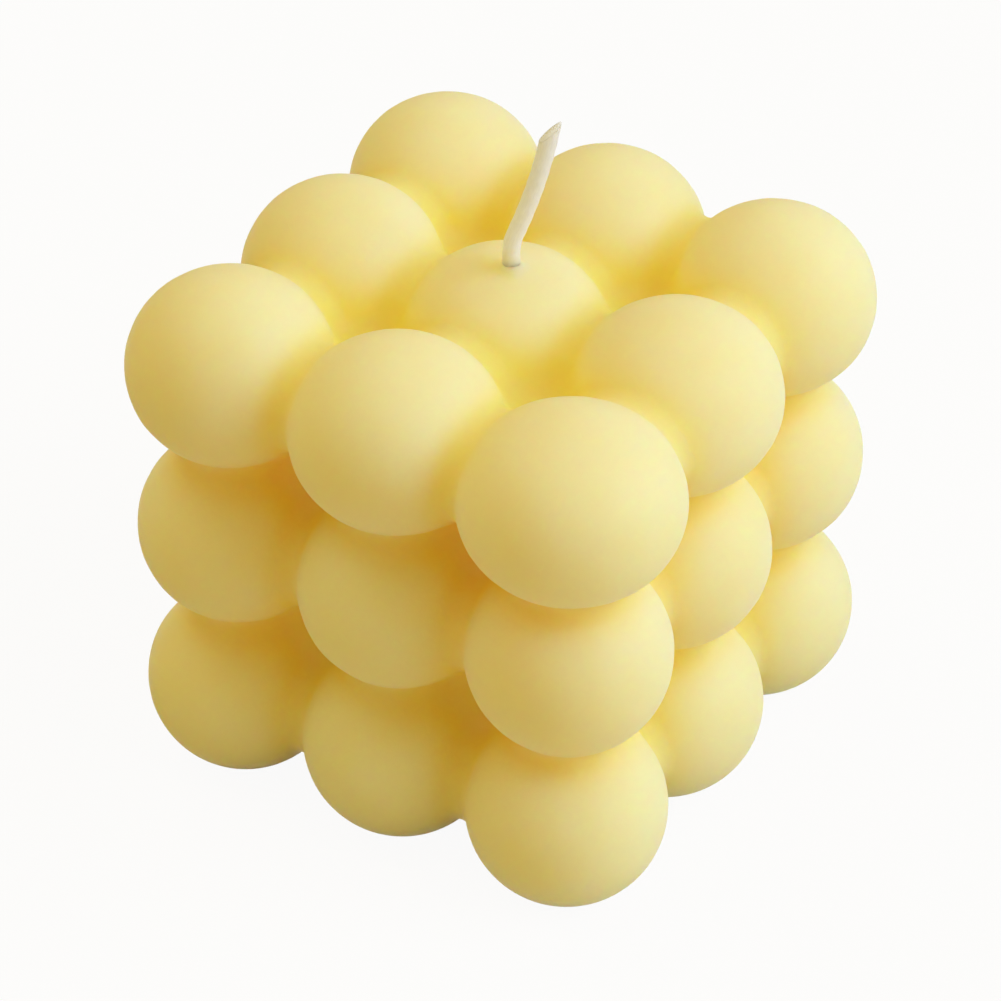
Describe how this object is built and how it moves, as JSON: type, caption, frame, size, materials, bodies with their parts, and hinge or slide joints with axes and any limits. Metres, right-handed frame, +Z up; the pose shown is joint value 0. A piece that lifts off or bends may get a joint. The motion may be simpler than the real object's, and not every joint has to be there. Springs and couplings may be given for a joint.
{
  "type": "cube candle",
  "caption": "Cube-shaped decorative candle of fused wax balls with a leaning cotton wick, standing on its flat underside.",
  "frame": {"origin": "middle of the cube of balls, on the flat underside", "axes": "+Z up along the wick, +X and +Y along the rows of balls; the wick leans towards +X and +Y"},
  "size_m": [0.0606, 0.0606, 0.0729],
  "materials": {
    "wax": "pale butter-yellow candle wax, satin and slightly translucent",
    "waxed_cotton": "white braided cotton with a thin coat of wax"
  },
  "bodies": {
    "root": {"wax_body": "wax", "wick": "waxed_cotton"}
  },
  "joints": []
}
